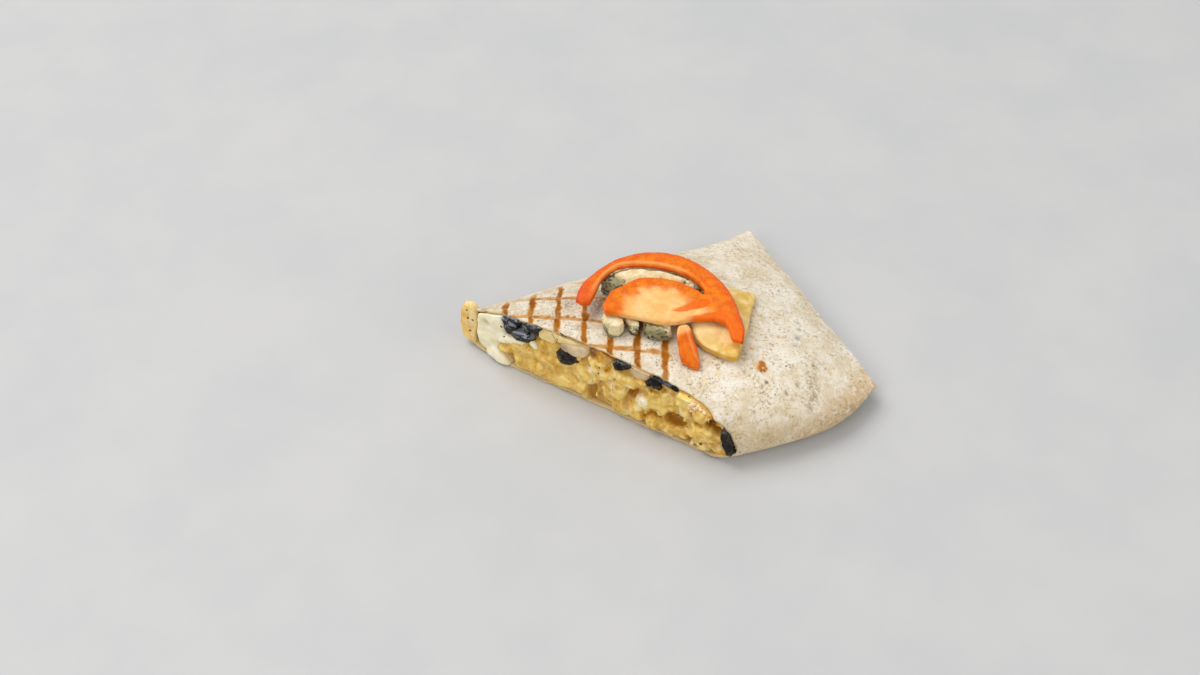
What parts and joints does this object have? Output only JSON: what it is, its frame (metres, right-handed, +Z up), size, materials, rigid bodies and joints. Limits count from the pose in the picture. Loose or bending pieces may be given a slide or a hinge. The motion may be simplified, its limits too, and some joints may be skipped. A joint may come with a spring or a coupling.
{
  "type": "french tacos",
  "caption": "Half of a grilled, folded tortilla parcel, cut on a slant to show fries, chicken, olives and cream sauce, with tomato and cheese laid on top.",
  "frame": {"origin": "on the surface that the parcel lies on, under the middle of its bounding box", "axes": "+X along the parcel to its folded end, +Y to its far side, +Z up; the slanted cut faces -X and -Y"},
  "size_m": [0.1302, 0.1098, 0.0426],
  "materials": {
    "tortilla": "dry baked flour skin with grill marks",
    "fries": "soft, moist, lumpy",
    "chicken": "moist, fibrous",
    "cream": "smooth, thick, moist",
    "olive": "smooth, oily skin",
    "tomato": "wet flesh under smooth skin",
    "blue_cheese": "crumbly, veined blue-grey",
    "cheese": "smooth, waxy"
  },
  "bodies": {
    "root": {"tortilla": "tortilla", "fries_layer": "fries", "chicken_layer": "chicken", "cream_sauce": "cream", "olive_1": "olive", "olive_2": "olive", "olive_3": "olive", "olive_4": "olive", "olive_5": "olive", "olive_6": "olive", "olive_7": "olive", "olive_8": "olive", "tomato_slice": "tomato", "tomato_strip": "tomato", "blue_cheese_1": "blue_cheese", "blue_cheese_2": "blue_cheese", "blue_cheese_3": "blue_cheese", "blue_cheese_4": "blue_cheese", "cheese_slice": "cheese"}
  },
  "joints": []
}
